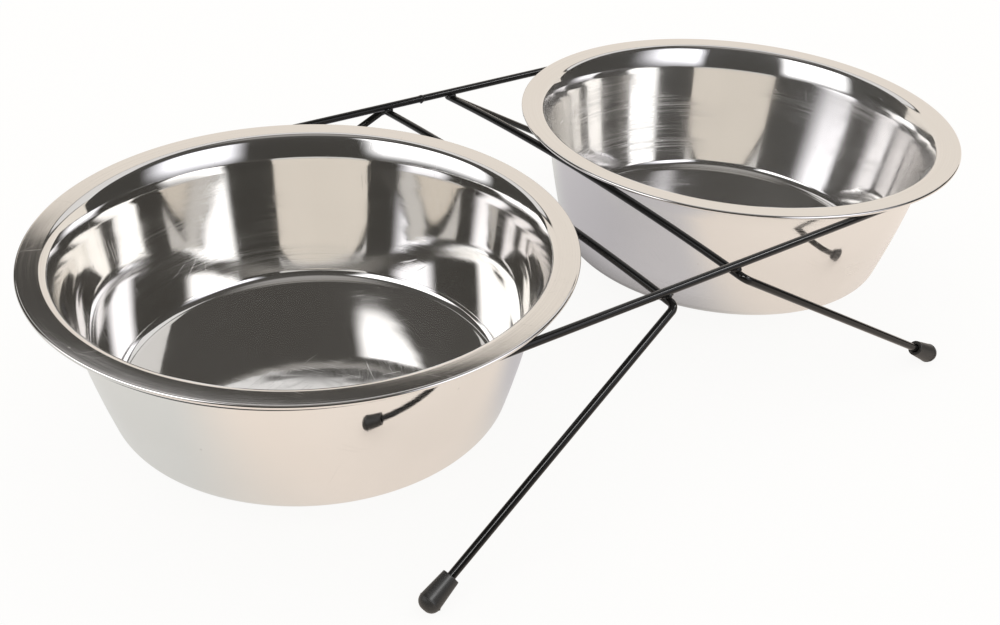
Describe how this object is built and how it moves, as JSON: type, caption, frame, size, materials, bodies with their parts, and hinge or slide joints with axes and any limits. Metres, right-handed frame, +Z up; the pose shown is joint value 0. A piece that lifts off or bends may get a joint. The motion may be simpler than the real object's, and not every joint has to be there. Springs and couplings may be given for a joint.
{
  "type": "dog feeder stand",
  "caption": "Low welded wire stand on splayed legs with rubber foot caps, carrying steel feeding bowls side by side by their flat rims; the bowls lift out.",
  "frame": {"origin": "on the table, under the middle of the line between the two bowls' centres", "axes": "+X from the left bowl to the right bowl, +Y to the rear, +Z up"},
  "size_m": [0.5284, 0.299, 0.096],
  "materials": {
    "bowl_steel": "polished stainless steel walls with fine round brush lines, satin rim",
    "wire_coat": "gloss black coating",
    "foot_rubber": "matte moulded rubber"
  },
  "bodies": {
    "stand": {"rail_front": "wire_coat", "rail_rear": "wire_coat", "loop_round_left": "wire_coat", "loop_round_right": "wire_coat", "leg_wire_left": "wire_coat", "leg_wire_right": "wire_coat", "weld_front_left": "wire_coat", "weld_front_right": "wire_coat", "weld_rear_left": "wire_coat", "weld_rear_right": "wire_coat", "loop_butt_weld": "wire_coat", "foot_front_left": "foot_rubber", "foot_front_right": "foot_rubber", "foot_rear_left": "foot_rubber", "foot_rear_right": "foot_rubber"},
    "left_bowl": {"bowl_left": "bowl_steel"},
    "right_bowl": {"bowl_right": "bowl_steel"}
  },
  "joints": [
    {"name": "left_bowl_lift", "type": "slide", "parent": "stand", "child": "left_bowl", "axis": [0, 0, 1], "range_m": [0, 0.12]},
    {"name": "right_bowl_lift", "type": "slide", "parent": "stand", "child": "right_bowl", "axis": [0, 0, 1], "range_m": [0, 0.12]}
  ]
}
